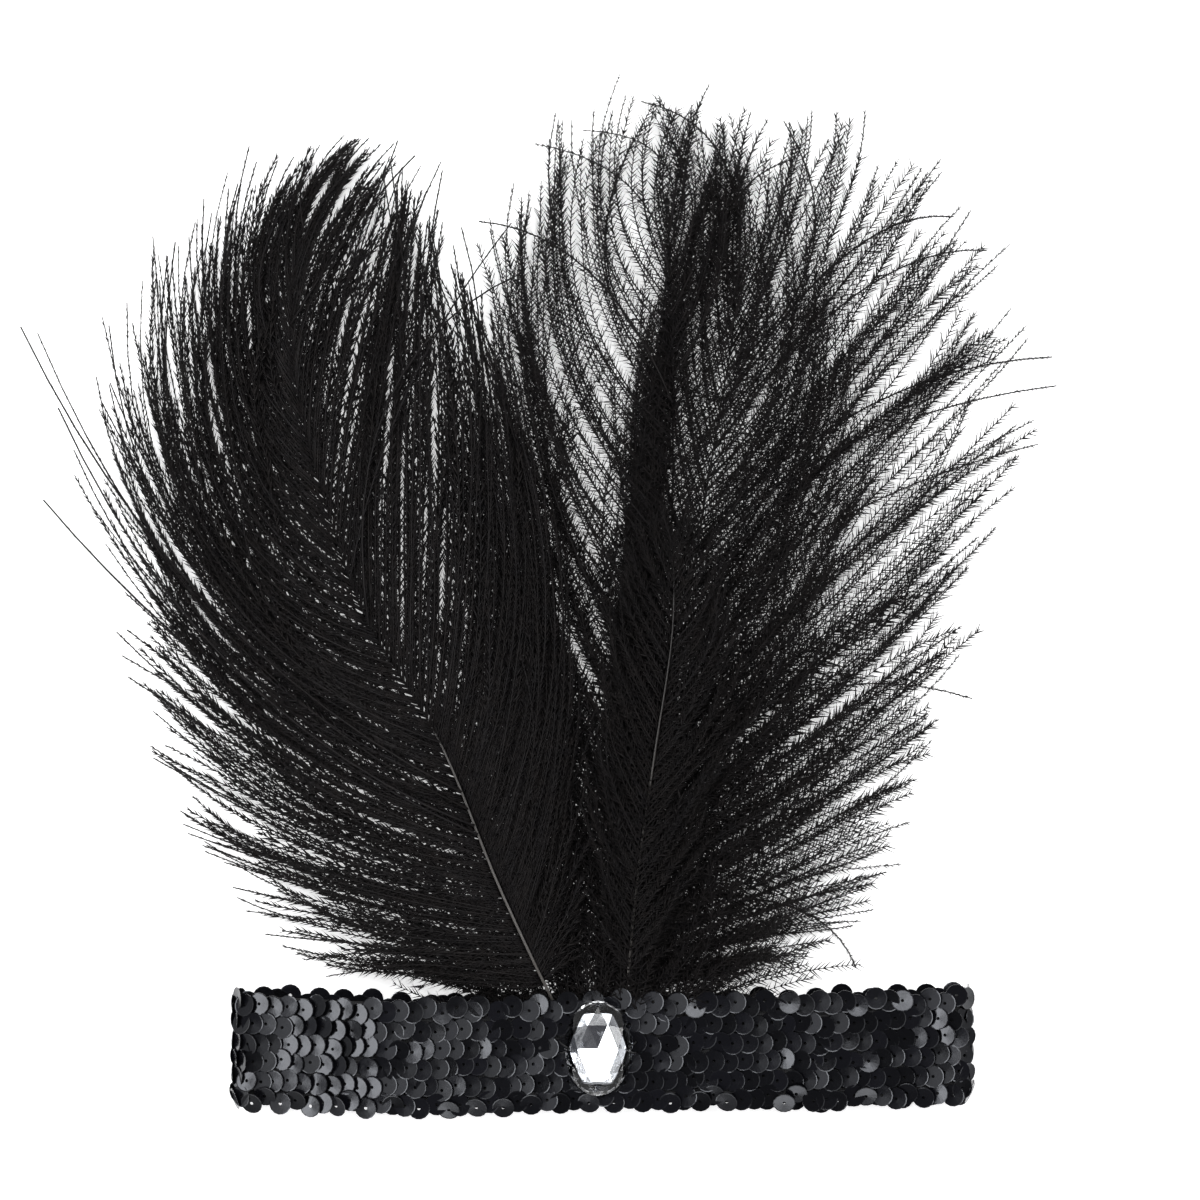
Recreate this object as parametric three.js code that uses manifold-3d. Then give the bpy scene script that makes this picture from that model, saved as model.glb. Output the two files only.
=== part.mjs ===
import * as THREE from 'three';
import { ConvexGeometry } from 'three/addons/geometries/ConvexGeometry.js';
import { mergeVertices } from 'three/addons/utils/BufferGeometryUtils.js';
import Module from 'manifold-3d';

// A flapper headband lying flat, its loop pressed together: an elastic band in a cover of sequins,
// a sew-on stone on its front, and four plumes whose quills go down behind the stone, between the
// two layers of the loop. Millimetres. X runs along the band, Y from the band to the plume tips, Z
// up from the surface it lies on. The origin is on the resting face, below the stone.

// Band
const loopLength = 200; // fold to fold, pressed flat
const bandWidth = 29.4; // between the hollows of the scalloped edges
const loopDepth = 12; // over both layers
const coverWall = 1.2; // a layer of sequins
const sequinRelief = 0.4; // from the crown of a sequin to the dip between two
const sequinRows = 6;
const fabricWall = 1.1;
const hem = 1.2; // the fabric's edge stays this far inside the cover's edge
const scallopPitch = 7.5;
const scallopDepth = 0.9;
const clearance = 0.3; // between pieces that touch

// Stone
const stoneWidth = 18;
const stoneHeight = 25.6;
const stoneDepth = 5.6;
const stoneRim = 1.3; // from the girdle to the middle of a sewing hole
const holeDiameter = 1;
const stoneShift = { along: -1.1, up: 1.8 }; // from the middle of the band

// Plumes
const quillDiameter = 2.2; // at the band
const shaftTipDiameter = 0.8;
const quillTuck = 23; // length of quill inside the loop
const leftExit = -14.3; // where the left quill leaves the band, along X
const rightExit = 3.2; // the same for the first of the three on the right
const quillSpacing = 3.3; // between those three
const lockThickness = 2;
const layerAir = 0.55; // between a quill and the vane of the next layer
const leavingRun = 9; // way over which a quill comes to its layer
const plumeReach = 226; // of the left plume's shaft above the band
const fanCrown = 6; // height of the lowest layer at the middle of the fan

const columns = (names, ...rows) =>
  rows.map((row) => Object.fromEntries(names.split(' ').map((name, i) => [name, row[i]])));

// How the band strays from a straight line, in shares of its width. Back is how far the hidden
// layer has slipped against the front one. At is a share of half the loop, from its middle.
const bandDrift = columns(
  'at drift back',
  [-1, -0.014, 0.02],
  [-0.5, -0.085, 0.015],
  [0, -0.037, 0],
  [0.6, -0.01, -0.03],
  [1, 0.041, -0.02],
);

// Half width of the fan, as a share of its widest, at shares of its reach.
const fanSpread = columns('at half', [0, 0.42], [0.25, 0.72], [0.45, 0.84], [0.7, 1], [1, 0.82]);
const fanHalfShare = 0.6; // that widest half width, as a share of the plumes' reach
const fanMiddleShare = -0.07; // where its middle lies

// Rings of facet corners, from the flat back to the table, in shares of the stone's half sizes
// and of its depth.
const stoneRings = columns(
  'corners turn radius depth',
  [24, 0, 0.9, 0],
  [24, 0, 1, 0.16],
  [24, 0, 1, 0.3],
  [6, 0, 0.88, 0.64],
  [6, 0.5, 0.6, 1],
);

// Shares of a barb, from the shaft to its tip, with the share of the lock's thickness there.
const barbSteps = columns('along thick', [0.28, 0.95], [0.52, 0.85], [0.78, 0.6]);
const tipThickness = 0.3;
const lockLengths = [1, 0.95, 0.99, 0.92]; // neighbouring locks end unevenly
const notchReach = 0.68; // where the notch between two locks ends, as a share of their length
const notchThickness = 0.5;
const barbBow = 0.5; // how far a barb keeps its first direction, as a share of its span

// Each plume: the shaft from where it leaves the band, in shares of its reach. The tips of its
// barbs on the outer side, away from the middle of the fan, and the inner side stand in the same
// shares, with the angle at which the barbs leave the shaft.
const plumes = [
  {
    name: 'left_plume',
    reach: plumeReach,
    exit: leftExit,
    outerSide: 'left',
    layer: 2,
    locks: 21,
    landing: { from: -0.38, to: -0.2 }, // sinks to the lowest layer over this stretch of X
    shaft: columns(
      'at up side',
      [0, 0, 0],
      [0.13, 0.13, -0.06],
      [0.3, 0.3, -0.13],
      [0.48, 0.47, -0.23],
      [0.59, 0.59, -0.27],
      [0.7, 0.7, -0.3],
      [0.79, 0.79, -0.31],
      [0.88, 0.89, -0.3],
      [0.95, 0.96, -0.27],
      [1, 1, -0.22],
    ),
    outer: columns(
      'at up side leave',
      [0.02, 0.025, -0.19, 60],
      [0.06, 0.03, -0.29, 60],
      [0.12, 0.11, -0.38, 58],
      [0.2, 0.22, -0.46, 55],
      [0.29, 0.36, -0.51, 52],
      [0.38, 0.49, -0.55, 50],
      [0.48, 0.64, -0.59, 50],
      [0.58, 0.75, -0.58, 52],
      [0.68, 0.84, -0.52, 56],
      [0.78, 0.93, -0.46, 58],
      [0.88, 0.98, -0.38, 55],
      [0.95, 1.01, -0.31, 50],
      [1, 1.03, -0.25, 40],
    ),
    inner: columns(
      'at up side leave',
      [0.038, 0.045, 0.04, 65],
      [0.07, 0.14, 0.05, 52],
      [0.12, 0.25, 0.04, 48],
      [0.22, 0.41, 0.03, 45],
      [0.32, 0.57, 0, 45],
      [0.42, 0.71, -0.03, 45],
      [0.52, 0.82, -0.06, 42],
      [0.62, 0.89, -0.1, 40],
      [0.72, 0.95, -0.13, 35],
      [0.82, 0.99, -0.15, 25],
      [0.92, 1.02, -0.17, 12],
      [1, 1.03, -0.19, 5],
    ),
  },
  {
    name: 'middle_plume',
    reach: 0.95 * plumeReach,
    exit: rightExit,
    outerSide: 'right',
    layer: 1,
    locks: 21,
    shaft: columns(
      'at up side',
      [0, 0, 0],
      [0.18, 0.18, 0.03],
      [0.36, 0.36, 0.05],
      [0.54, 0.54, 0.07],
      [0.7, 0.69, 0.075],
      [0.85, 0.85, 0.07],
      [1, 1, 0.07],
    ),
    outer: columns(
      'at up side leave',
      [0.04, 0.06, 0.07, 60],
      [0.08, 0.11, 0.14, 54],
      [0.15, 0.2, 0.22, 48],
      [0.3, 0.4, 0.29, 46],
      [0.45, 0.62, 0.32, 45],
      [0.6, 0.83, 0.31, 45],
      [0.72, 0.98, 0.26, 45],
      [0.84, 1.08, 0.2, 45],
      [0.93, 1.12, 0.14, 35],
      [1, 1.14, 0.09, 10],
    ),
    inner: columns(
      'at up side leave',
      [0.04, 0.065, -0.045, 60],
      [0.07, 0.18, -0.15, 50],
      [0.12, 0.31, -0.23, 40],
      [0.22, 0.47, -0.25, 40],
      [0.32, 0.62, -0.24, 42],
      [0.42, 0.76, -0.22, 44],
      [0.52, 0.88, -0.18, 44],
      [0.62, 0.96, -0.15, 44],
      [0.72, 1.03, -0.13, 46],
      [0.82, 1.09, -0.09, 46],
      [0.91, 1.12, -0.03, 44],
      [0.96, 1.13, 0.02, 38],
      [1, 1.14, 0.055, 15],
    ),
  },
  {
    name: 'right_plume',
    reach: 0.876 * plumeReach,
    exit: rightExit + 2 * quillSpacing,
    outerSide: 'right',
    layer: 0,
    locks: 20,
    shaft: columns(
      'at up side',
      [0, 0, 0],
      [0.2, 0.2, 0.02],
      [0.4, 0.4, 0.05],
      [0.6, 0.6, 0.08],
      [0.78, 0.78, 0.11],
      [0.9, 0.9, 0.13],
      [1, 1, 0.14],
    ),
    outer: columns(
      'at up side leave',
      [0.02, 0.025, 0.12, 70],
      [0.06, 0.03, 0.2, 68],
      [0.12, 0.08, 0.29, 64],
      [0.2, 0.18, 0.36, 60],
      [0.29, 0.34, 0.4, 56],
      [0.38, 0.48, 0.45, 52],
      [0.48, 0.62, 0.49, 50],
      [0.58, 0.79, 0.54, 48],
      [0.68, 0.93, 0.5, 48],
      [0.78, 1.04, 0.44, 46],
      [0.87, 1.12, 0.36, 44],
      [0.94, 1.18, 0.28, 35],
      [1, 1.21, 0.2, 15],
    ),
    inner: columns(
      'at up side leave',
      [0.045, 0.1, -0.02, 46],
      [0.15, 0.32, -0.04, 40],
      [0.3, 0.54, -0.04, 40],
      [0.45, 0.74, -0.04, 40],
      [0.6, 0.93, -0.03, 42],
      [0.75, 1.09, 0, 44],
      [0.88, 1.18, 0.07, 40],
      [1, 1.22, 0.155, 15],
    ),
  },
  {
    name: 'short_plume',
    reach: 0.557 * plumeReach,
    exit: rightExit + quillSpacing,
    outerSide: 'right',
    layer: 3,
    locks: 13,
    shaft: columns(
      'at up side',
      [0, 0, 0],
      [0.3, 0.3, 0.03],
      [0.51, 0.51, 0.06],
      [0.8, 0.8, 0.1],
      [1, 1, 0.1],
    ),
    outer: columns(
      'at up side leave',
      [0.07, 0.15, 0.08, 46],
      [0.25, 0.44, 0.22, 38],
      [0.5, 0.69, 0.26, 38],
      [0.75, 0.9, 0.25, 40],
      [0.9, 0.99, 0.2, 40],
      [1, 1.06, 0.13, 20],
    ),
    inner: columns(
      'at up side leave',
      [0.07, 0.15, -0.05, 46],
      [0.25, 0.44, -0.09, 38],
      [0.5, 0.69, -0.08, 38],
      [0.75, 0.9, -0.05, 40],
      [0.9, 1, 0.01, 38],
      [1, 1.06, 0.08, 20],
    ),
  },
];

const foldRadius = loopDepth / 2;
const bandEdge = bandWidth / 2;
const fabricInset = coverWall + clearance;
const hollowTop = loopDepth - fabricInset - fabricWall;
const quillRadius = quillDiameter / 2;
const quillLevel = hollowTop - clearance - quillRadius;
const layerStep = quillRadius + lockThickness / 2 + layerAir;
const plumeBase = bandEdge + 0.2; // where a shaft's shares start
const fanReach = plumeBase + plumeReach;
const fanHalfWidth = fanHalfShare * plumeReach;
const fanMiddle = fanMiddleShare * plumeReach;

const smooth = THREE.MathUtils.smoothstep;
const mix = THREE.MathUtils.lerp;

// Reads a table of rows at a share, as a smooth curve through them. The columns come in order.
function reader(rows) {
  const [first, ...names] = Object.keys(rows[0]);
  const values = rows.flatMap((row) => names.map((name) => row[name]));
  const curve = new THREE.CubicInterpolant(rows.map((row) => row[first]), values, names.length);
  const span = [rows[0][first], rows.at(-1)[first]];
  return (share) => Array.from(curve.evaluate(THREE.MathUtils.clamp(share, ...span)));
}

// A closed skin over rings of points. The rings close on each other, or the ends are closed by
// strips between the near and the far half of the end ring.
function skin(rings, closed) {
  const size = rings[0].length;
  const index = [];
  const at = (ring, point) => (ring % rings.length) * size + (point % size);
  const last = closed ? rings.length : rings.length - 1;
  for (let ring = 0; ring < last; ring++) {
    for (let point = 0; point < size; point++) {
      const [a, b] = [at(ring, point), at(ring, point + 1)];
      const [c, d] = [at(ring + 1, point), at(ring + 1, point + 1)];
      index.push(a, b, d, a, d, c);
    }
  }
  const strip = (ring, turned) => {
    for (let point = 0; point < size / 2; point++) {
      const quad = [point, point + 1, size - point - 1, size - point].map((p) => at(ring, p));
      if (turned) quad.reverse();
      if (quad[1] !== quad[2]) index.push(quad[0], quad[2], quad[1]);
      if (quad[0] !== quad[3]) index.push(quad[0], quad[3], quad[2]);
    }
  };
  if (!closed) {
    strip(0, false);
    strip(rings.length - 1, true);
  }
  const geometry = new THREE.BufferGeometry().setFromPoints(rings.flat());
  geometry.setIndex(index);
  if (volume(geometry) < 0) index.reverse();
  geometry.setIndex(index);
  geometry.computeVertexNormals();
  return geometry;
}

function volume(geometry) {
  const position = geometry.getAttribute('position');
  const corners = [0, 1, 2].map(() => new THREE.Vector3());
  let sum = 0;
  for (let i = 0; i < geometry.index.count; i += 3) {
    corners.forEach((corner, k) => corner.fromBufferAttribute(position, geometry.index.getX(i + k)));
    sum += corners[0].dot(corners[1].cross(corners[2])) / 6;
  }
  return sum;
}

const wasm = await Module();
wasm.setup();

function toSolid(geometry) {
  const bare = geometry.clone();
  bare.deleteAttribute('normal');
  bare.deleteAttribute('uv');
  const merged = mergeVertices(bare, 1e-4);
  return new wasm.Manifold(
    new wasm.Mesh({
      numProp: 3,
      vertProperties: new Float32Array(merged.getAttribute('position').array),
      triVerts: new Uint32Array(merged.index.array),
    }),
  );
}

function toGeometry(solid) {
  const { numProp, vertProperties, triVerts } = solid.getMesh();
  const places = new THREE.InterleavedBuffer(vertProperties, numProp);
  const geometry = new THREE.BufferGeometry();
  geometry.setAttribute('position', new THREE.InterleavedBufferAttribute(places, 3, 0));
  geometry.setIndex(Array.from(triVerts));
  return geometry.toNonIndexed();
}

const drift = reader(bandDrift);

// A wall that follows the loop at a depth below its outer face. Stations run along the front, round
// a fold, back along the other layer and round the other fold. Across gives the places across the
// outer face of one station, as a share of its half width with the depth of the face there.
function loopWall({ inset, wall, halfWidth, stations, edge, across }) {
  const straight = loopLength - loopDepth;
  const lap = 2 * straight + 2 * Math.PI * foldRadius;
  const fold = Math.PI * foldRadius;
  const rings = [];
  for (let i = 0; i < stations; i++) {
    const way = (lap * i) / stations;
    const onFront = way < straight;
    const onBack = way >= straight + fold && way < 2 * straight + fold;
    let centre = straight / 2;
    let angle = Math.PI / 2;
    if (onFront) centre = way - straight / 2;
    else if (onBack) [centre, angle] = [straight / 2 - (way - straight - fold), -Math.PI / 2];
    else if (way < straight + fold) angle = Math.PI / 2 - (way - straight) / foldRadius;
    else [centre, angle] = [-straight / 2, -Math.PI / 2 - (way - 2 * straight - fold) / foldRadius];
    const reach = halfWidth + edge(i);
    const spot = (depth, share) => {
      const x = centre + Math.cos(angle) * (foldRadius - depth);
      const z = foldRadius + Math.sin(angle) * (foldRadius - depth);
      const [stray, back] = drift(x / (loopLength / 2));
      const y = share * reach + bandWidth * (stray + back * (1 - z / loopDepth));
      return new THREE.Vector3(x, y, z);
    };
    const face = across(i, onBack).map(({ share, dip }) => spot(inset + dip, share));
    rings.push([spot(inset, -1), ...face, spot(inset, 1), spot(inset + wall, 1), spot(inset + wall, -1)]);
  }
  return skin(rings, true);
}

const stationsPerScallop = 3;

// The sequins stand in rows that interleave. The layer that the band lies on is pressed flat.
function sequinCover() {
  const lap = 2 * (loopLength - loopDepth) + Math.PI * loopDepth;
  const scallops = Math.round(lap / scallopPitch);
  const rows = Array.from({ length: sequinRows }, (_, row) => row);
  return loopWall({
    inset: 0,
    wall: coverWall,
    halfWidth: bandEdge,
    stations: scallops * stationsPerScallop,
    edge: (i) => scallopDepth * Math.abs(Math.sin((Math.PI * i) / stationsPerScallop)),
    across: (i, pressed) =>
      rows.map((row) => {
        const phase = i / stationsPerScallop + row / 2;
        const dip = pressed ? 0 : sequinRelief * (0.5 - 0.5 * Math.cos(2 * Math.PI * phase));
        return { share: (2 * row + 1) / sequinRows - 1, dip };
      }),
  });
}

function stretchBand() {
  return loopWall({
    inset: fabricInset,
    wall: fabricWall,
    halfWidth: bandEdge - hem,
    stations: 120,
    edge: () => 0,
    across: () => [],
  });
}

function centreStone() {
  const points = stoneRings.flatMap(({ corners, turn, radius, depth }) =>
    Array.from({ length: corners }, (_, i) => {
      const angle = ((i + turn) / corners) * 2 * Math.PI + Math.PI / 2;
      const x = (Math.cos(angle) * radius * stoneWidth) / 2;
      const y = (Math.sin(angle) * radius * stoneHeight) / 2;
      return new THREE.Vector3(x, y, depth * stoneDepth);
    }),
  );
  let stone = toSolid(new ConvexGeometry(points));
  for (const side of [-1, 1]) {
    const hole = new THREE.CylinderGeometry(holeDiameter / 2, holeDiameter / 2, 3 * stoneDepth, 8);
    hole.rotateX(Math.PI / 2);
    hole.translate(side * (stoneWidth / 2 - stoneRim), 0, 0);
    stone = stone.subtract(toSolid(hole));
  }
  return toGeometry(stone);
}

const spread = reader(fanSpread);

// Height of a plume's middle at a place, in millimetres from the origin.
function lie(plume, x, y) {
  const away = Math.hypot(x - plume.exit, y - plumeBase);
  const [half] = spread(y / fanReach);
  const across = (x - fanMiddle) / (half * fanHalfWidth);
  const crown = fanCrown * Math.max(0, 1 - across ** 2) * (1 - 0.8 * (y / fanReach) ** 2);
  const landed = plume.landing
    ? smooth(x / plumeReach, plume.landing.from, plume.landing.to)
    : 1;
  const settled = Math.max(crown, 0) + plume.layer * layerStep * landed;
  return y < plumeBase ? quillLevel : mix(quillLevel, settled, smooth(away, 0, leavingRun));
}

function plumeSkin(plume) {
  const shaftAt = reader(plume.shaft);
  const sides = { outer: reader(plume.outer), inner: reader(plume.inner) };
  const starts = { outer: plume.outer[0].at, inner: plume.inner[0].at };
  const ringSize = 4 * (barbSteps.length + 1) + 4;
  const place = (up, side) => new THREE.Vector2(plume.exit + side * plume.reach, plumeBase + up * plume.reach);

  const shaftPoint = (at) => place(...shaftAt(at));
  const heading = (at) => shaftPoint(at + 0.01).sub(shaftPoint(Math.max(0, at - 0.01))).normalize();
  const radiusAt = (at) => mix(quillRadius, shaftTipDiameter / 2, at);
  const lift = (point, height) => new THREE.Vector3(point.x, point.y, height);

  // One point of the round quill, counted from the outer side over the top
  const roundPoint = (centre, way, level, radius, i) => {
    const angle = Math.PI - (2 * Math.PI * i) / ringSize;
    const sideways = new THREE.Vector2(way.y, -way.x).multiplyScalar(plume.outerSide === 'left' ? 1 : -1);
    const point = centre.clone().addScaledVector(sideways, Math.cos(angle) * radius);
    return lift(point, level + Math.sin(angle) * radius);
  };

  function ringAt(at, length, thickness) {
    const root = shaftPoint(at);
    const way = heading(Math.min(at, 0.98));
    const radius = radiusAt(at);
    const level = Math.max(lie(plume, root.x, root.y), radius);
    const ring = Array.from({ length: ringSize }, (_, i) => roundPoint(root, way, level, radius, i));
    for (const side of ['outer', 'inner']) {
      if (at < starts[side]) continue;
      const [up, across, leave] = sides[side](at);
      const tip = place(up, across);
      const turn = (side === 'outer') === (plume.outerSide === 'left') ? 1 : -1;
      const aim = way.clone().rotateAround(new THREE.Vector2(), (turn * leave * Math.PI) / 180);
      const bend = root.clone().addScaledVector(aim, barbBow * root.distanceTo(tip));
      const barb = new THREE.QuadraticBezierCurve(root, bend, tip);
      const thick = (lockThickness / 2) * thickness;
      barbSteps.forEach(({ along, thick: share }, k) => {
        const point = barb.getPoint(along * length);
        const half = thick * share;
        const height = Math.max(lie(plume, point.x, point.y), half);
        const step = barbSteps.length - k;
        const [over, under] =
          side === 'outer' ? [step, ringSize - step] : [ringSize / 2 - step, ringSize / 2 + step];
        ring[over] = lift(point, height + half);
        ring[under] = lift(point, height - half);
      });
      const end = barb.getPoint(length);
      const rest = (lockThickness / 2) * tipThickness;
      ring[side === 'outer' ? 0 : ringSize / 2] = lift(end, Math.max(lie(plume, end.x, end.y), rest));
    }
    return ring;
  }

  // The quill inside the loop, straight on from the shaft
  const way = heading(0);
  const rings = [quillTuck, 0].map((below) => {
    const centre = shaftPoint(0).addScaledVector(way, -below);
    return Array.from({ length: ringSize }, (_, i) => roundPoint(centre, way, quillLevel, quillRadius, i));
  });

  // Locks and the notches between them, from the first barb to the end of the shaft
  const first = Math.min(starts.outer, starts.inner);
  const halfSteps = plume.locks * 2;
  for (let i = -2; i <= halfSteps; i++) {
    const at = i < 0 ? first * (i === -2 ? 0.5 : 0.98) : mix(first, 1, i / halfSteps);
    const isLock = i % 2 === 0;
    const length = isLock ? lockLengths[Math.abs(i / 2) % lockLengths.length] : notchReach;
    rings.push(ringAt(at, length, isLock ? 1 : notchThickness));
  }
  return skin(rings, false);
}

const finishes = {
  fabric: new THREE.MeshStandardMaterial({ color: 0x121215, roughness: 0.95, metalness: 0 }),
  sequins: new THREE.MeshStandardMaterial({ color: 0x23252c, roughness: 0.3, metalness: 0.4 }),
  stone: new THREE.MeshStandardMaterial({ color: 0xe4e9ec, roughness: 0.05, metalness: 0.2 }),
  plume: new THREE.MeshStandardMaterial({ color: 0x17151a, roughness: 0.85, metalness: 0 }),
};

const headband = new THREE.Group();

function add(name, geometry, finish, parent) {
  const mesh = new THREE.Mesh(geometry, finish);
  mesh.name = name;
  parent.add(mesh);
  return mesh;
}

const band = new THREE.Group();
headband.add(band);
add('stretch_band', stretchBand(), finishes.fabric, band);
add('sequin_cover', sequinCover(), finishes.sequins, band);
const stone = add('centre_stone', centreStone(), finishes.stone, band);
const [middleDrift] = drift(0);
stone.position.set(stoneShift.along, bandWidth * middleDrift + stoneShift.up, loopDepth + clearance);

const fan = new THREE.Group();
headband.add(fan);
for (const plume of plumes) add(plume.name, plumeSkin(plume), finishes.plume, fan);

export default headband;
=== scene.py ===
import math

import bmesh
import bpy
import numpy as np
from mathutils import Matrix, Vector


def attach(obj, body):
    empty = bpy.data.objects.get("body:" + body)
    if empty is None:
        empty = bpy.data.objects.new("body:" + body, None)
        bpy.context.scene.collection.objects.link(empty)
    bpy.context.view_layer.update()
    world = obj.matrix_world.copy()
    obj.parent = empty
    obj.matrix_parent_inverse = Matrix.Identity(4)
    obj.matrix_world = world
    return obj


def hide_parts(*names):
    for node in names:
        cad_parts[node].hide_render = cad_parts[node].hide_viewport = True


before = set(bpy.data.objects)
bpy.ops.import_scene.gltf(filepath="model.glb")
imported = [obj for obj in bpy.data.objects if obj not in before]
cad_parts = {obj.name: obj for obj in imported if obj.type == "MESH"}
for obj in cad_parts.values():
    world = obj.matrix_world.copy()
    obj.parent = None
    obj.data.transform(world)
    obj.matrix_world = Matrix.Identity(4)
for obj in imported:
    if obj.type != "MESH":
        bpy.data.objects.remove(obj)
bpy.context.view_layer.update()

mm = 0.001

studio = dict(
    aim=(-0.54, 120.96),     # the middle of the picture, on the floor
    cameraHeight=908,
    lens=100,
    sensor=36,
    clip=(0.05, 50),         # metres
    floorSide=16,            # metres
    floorColor=(0.93, 0.93, 0.93, 1),
    floorGlow=0.58,
    floorGrain=(0.9, 0.9, 0.9, 1),
    sky=[(0.15, (0.62, 0.62, 0.62, 1)), (0.7, (0.07, 0.07, 0.077, 1))],     # height of the view, colour
)

softBoxes = [                # name, place, aim, width, height, power in watts (metres)
    ("keyBox", (-0.86, 0.05, 0.9), (-0.02, 0.05, 0), 1.4, 0.3, 8.6),
    ("softFill", (-0.5, 0.2, 1.1), (-0.02, 0.05, 0), 1.1, 0.5, 1.6),
    ("stoneBox", (0, 0.6, 1.27), (0, 0, 0), 0.5, 0.2, 1.9),
    ("rightBox", (0.88, 0.36, 0.9), (0.02, 0.08, 0), 0.5, 0.6, 6),
    ("headBox", (0.05, 0.95, 1.25), (0, 0.1, 0), 1.2, 0.5, 7),
    ("footBox", (0.2, -1.7, 0.6), (0, 0.05, 0), 1.3, 0.5, 6),
]


def makeCamera():
    data = bpy.data.cameras.new("camera")
    data.lens, data.sensor_width = studio["lens"], studio["sensor"]
    data.clip_start, data.clip_end = studio["clip"]
    camera = bpy.data.objects.new("camera", data)
    camera.location = (studio["aim"][0] * mm, studio["aim"][1] * mm, studio["cameraHeight"] * mm)
    bpy.context.scene.collection.objects.link(camera)
    bpy.context.scene.camera = camera


def makeLights():
    for name, place, aim, width, height, power in softBoxes:
        data = bpy.data.lights.new(name, "AREA")
        data.shape = "RECTANGLE"
        data.size, data.size_y, data.energy = width, height, power
        box = bpy.data.objects.new(name, data)
        box.location = place
        box.rotation_euler = (Vector(aim) - Vector(place)).to_track_quat("-Z", "Y").to_euler()
        bpy.context.scene.collection.objects.link(box)
    world = bpy.data.worlds.new("studio")
    world.use_nodes = True
    sky = Nodes(world.node_tree)
    direction = sky.node("ShaderNodeTexCoord", output="Generated")
    height = sky.node("ShaderNodeSeparateXYZ", {}, {"Vector": direction}, output="Z")
    tone = sky.node("ShaderNodeValToRGB", {"stops": studio["sky"]}, {"Fac": height})
    sky.feed(sky.tree.nodes["Background"].inputs["Color"], tone)
    bpy.context.scene.world = world
    bpy.context.scene.view_settings.view_transform = "Standard"


class Reading:               # a socket, with which sums can be written as in plain arithmetic
    def __init__(self, nodes, socket):
        self.nodes, self.socket = nodes, socket

    def worked(self, operation, first, second):
        return self.nodes.node("ShaderNodeMath", {"operation": operation}, {0: first, 1: second})

    def __add__(self, other):
        return self.worked("ADD", self, other)

    def __sub__(self, other):
        return self.worked("SUBTRACT", self, other)

    def __mul__(self, other):
        return self.worked("MULTIPLY", self, other)

    def __rsub__(self, other):
        return self.worked("SUBTRACT", other, self)

    def __pow__(self, other):
        return self.worked("POWER", self, other)

    __radd__ = __add__
    __rmul__ = __mul__


class Nodes:                 # the nodes of a material or of the world
    def __init__(self, tree):
        self.tree = tree

    def node(self, kind, settings=None, sockets=None, output=0):
        made = self.tree.nodes.new(kind)
        for name, value in (settings or {}).items():
            if name == "stops":
                self.setStops(made.color_ramp, value)
            else:
                setattr(made, name, value)
        for name, value in (sockets or {}).items():
            self.feed(made.inputs[name], value)
        return Reading(self, made.outputs[output])

    def setStops(self, ramp, stops):
        while len(ramp.elements) < len(stops):
            ramp.elements.new(1)
        for element, (place, color) in zip(ramp.elements, stops):
            element.position, element.color = place, color

    def feed(self, socket, value):
        if isinstance(value, Reading):
            self.tree.links.new(value.socket, socket)
        else:
            socket.default_value = value


class Finish(Nodes):         # a material, with the sockets of its shader that stay the same all over
    def __init__(self, name, **constants):
        self.material = bpy.data.materials.new(name)
        self.material.use_nodes = True
        super().__init__(self.material.node_tree)
        self.shader = self.tree.nodes["Principled BSDF"]
        for socket, value in constants.items():
            self.shader.inputs[socket.replace("_", " ")].default_value = value

    def onShader(self, name, value):
        self.feed(self.shader.inputs[name], value)

    def spot(self):          # the place on the piece
        return self.node("ShaderNodeTexCoord", output="Object")

    def tint(self):          # the number that each barb or sequin has of its own
        return self.node("ShaderNodeAttribute", {"attribute_name": "tint"}, output=2)

    def noise(self, vector, scale, detail=2.0):
        return self.node("ShaderNodeTexNoise", {"noise_dimensions": "3D"},
                         {"Vector": vector, "Scale": scale, "Detail": detail, "Roughness": 0.5})

    def blend(self, share, first, second):        # two colours, mixed
        return self.node("ShaderNodeMix", {"data_type": "RGBA"}, {0: share, 6: first, 7: second}, output=2)

    def bump(self, height, strength, distance):
        sockets = {"Height": height, "Strength": strength, "Distance": distance}
        self.onShader("Normal", self.node("ShaderNodeBump", {}, sockets))


def makeFloorFinish():
    finish = Finish("paperSweep", Roughness=0.9, Emission_Color=(1, 1, 1, 1),
                    Emission_Strength=studio["floorGlow"])
    grain = finish.noise(finish.spot(), 40, 3)
    finish.onShader("Base Color", finish.blend(grain * 0.02, studio["floorColor"], studio["floorGrain"]))
    return finish.material


def makeFloor():
    clearSelection()
    bpy.ops.mesh.primitive_plane_add(size=studio["floorSide"], location=(0, 0, 0))
    floor = bpy.context.object
    floor.name = "floor"
    floor.data.materials.append(makeFloorFinish())


def clearSelection():
    if bpy.context.object and bpy.context.object.mode != "OBJECT":
        bpy.ops.object.mode_set(mode="OBJECT")
    bpy.ops.object.select_all(action="DESELECT")


def selectAlone(piece):
    clearSelection()
    piece.select_set(True)
    bpy.context.view_layer.objects.active = piece


def readCurve(rows):         # a table of rows as a smooth curve through them, read at any share
    table = np.array(rows, float)
    at, values = table[:, 0], table[:, 1:]
    slope = np.gradient(values, at, axis=0)

    def read(share):
        share = np.clip(np.asarray(share, float), at[0], at[-1])
        low = np.clip(np.searchsorted(at, share, side="right") - 1, 0, len(at) - 2)
        span = at[low + 1] - at[low]
        step = ((share - at[low]) / span)[..., None]
        span = span[..., None]
        square, cube = step ** 2, step ** 3
        return ((2 * cube - 3 * square + 1) * values[low] + (cube - 2 * square + step) * span * slope[low]
                + (3 * square - 2 * cube) * values[low + 1] + (cube - square) * span * slope[low + 1])
    return read


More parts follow.
